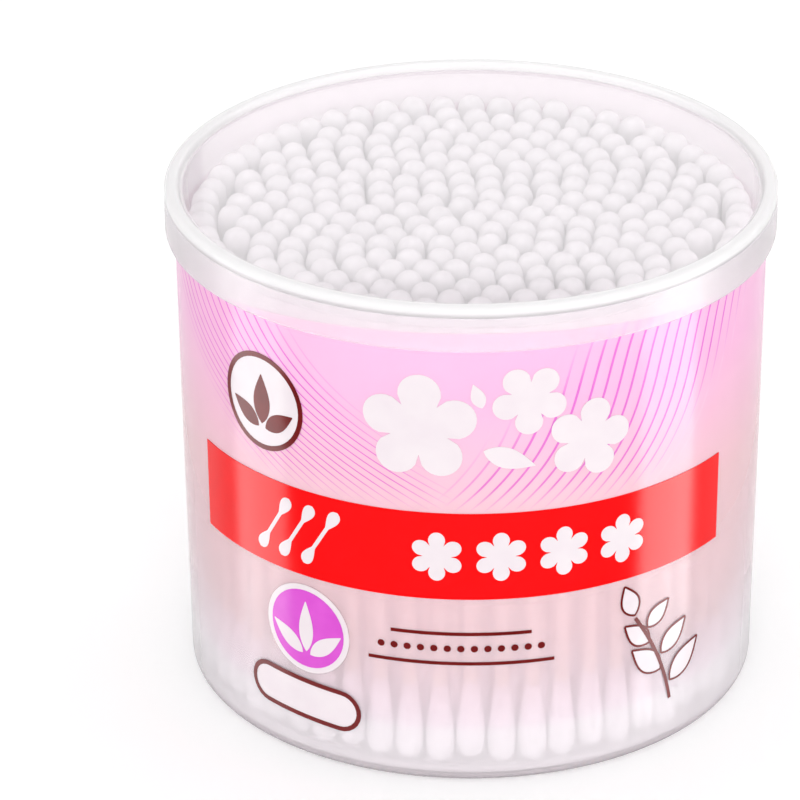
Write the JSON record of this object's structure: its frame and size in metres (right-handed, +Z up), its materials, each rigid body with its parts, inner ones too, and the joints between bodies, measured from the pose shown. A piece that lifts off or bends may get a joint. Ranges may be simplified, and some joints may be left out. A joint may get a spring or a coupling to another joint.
{
  "type": "tub of cotton swabs",
  "caption": "Round frosted plastic tub with a clear press-on lid, full of upright cotton swabs on bamboo sticks.",
  "frame": {"origin": "middle of the standing ring on the table", "axes": "+Z up along the tub's axis, -Y towards the printed front"},
  "size_m": [0.092, 0.092, 0.0795],
  "materials": {
    "tub_plastic": "frosted clear",
    "lid_plastic": "clear, lightly frosted",
    "pink_ink": "ink, fading downwards",
    "red_ink": "solid ink",
    "bamboo": "bare",
    "cotton": "wound cotton"
  },
  "bodies": {
    "tub": {"tub": "tub_plastic", "pink_print": "pink_ink", "red_band": "red_ink", "swab_sticks": "bamboo", "upper_tips": "cotton", "lower_tips": "cotton"},
    "lid": {"lid": "lid_plastic"}
  },
  "joints": [
    {"name": "lid_lift", "type": "slide", "parent": "tub", "child": "lid", "axis": [0, 0, 1], "range_m": [0, 0.05]}
  ]
}
